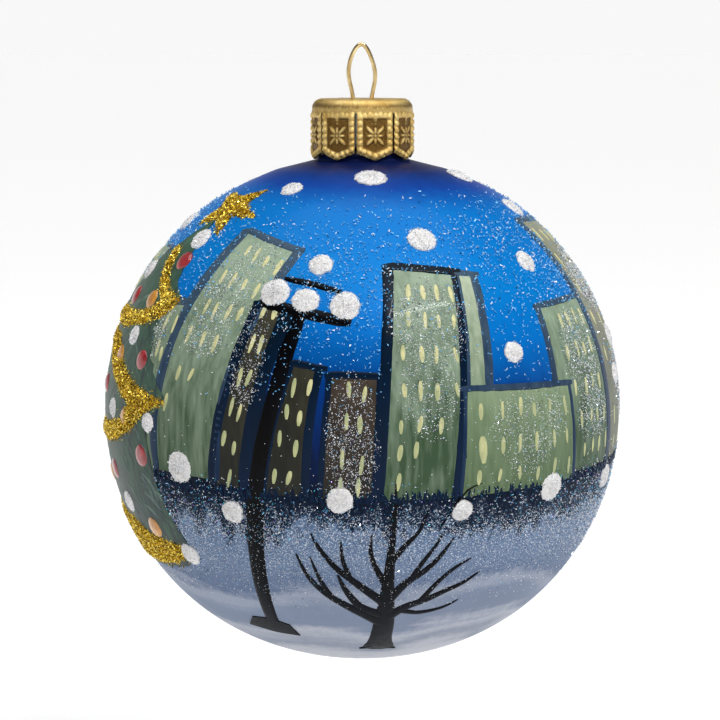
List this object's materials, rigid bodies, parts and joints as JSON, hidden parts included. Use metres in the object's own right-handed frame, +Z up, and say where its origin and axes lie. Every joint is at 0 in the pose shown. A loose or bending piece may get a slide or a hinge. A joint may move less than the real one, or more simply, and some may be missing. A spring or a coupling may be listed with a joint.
{
  "type": "glass ball christmas ornament",
  "caption": "Hand-painted hollow glass ball ornament with a raised winter town scene, glitter garlands, a gold crown cap and a spring-wire hanging loop.",
  "frame": {"origin": "hanging point, inside the top of the hanger's wire eye", "axes": "+Z up along the ornament's axis, -Y towards the painted side with the street lamp, +X to its right"},
  "size_m": [0.0806, 0.0803, 0.0955],
  "materials": {
    "lacquered_glass": "satin",
    "gilt_cap": "satin",
    "gilt_wire": "bright",
    "snow_paste": "granular",
    "lamp_paste": "granular",
    "red_enamel": "glossy",
    "amber_enamel": "glossy",
    "white_enamel": "glossy",
    "gold_glitter": "glitter"
  },
  "bodies": {
    "hanger": {"hanger_wire": "gilt_wire"},
    "cap": {"crown_cap": "gilt_cap"},
    "globe": {"glass_globe": "lacquered_glass", "snow_dots": "snow_paste", "lamp_globes": "lamp_paste", "red_baubles": "red_enamel", "amber_baubles": "amber_enamel", "white_baubles": "white_enamel", "tree_star": "gold_glitter", "garland_top": "gold_glitter", "garland_middle": "gold_glitter", "garland_bottom": "gold_glitter"}
  },
  "joints": [
    {"name": "hanger_tilt", "type": "hinge", "parent": "hanger", "child": "cap", "pos_m": [0, 0, -0.0081], "axis": [1, 0, 0], "range_deg": [-10, 10]},
    {"name": "globe_release", "type": "slide", "parent": "cap", "child": "globe", "axis": [0, 0, -1], "range_m": [0, 0.02]}
  ]
}
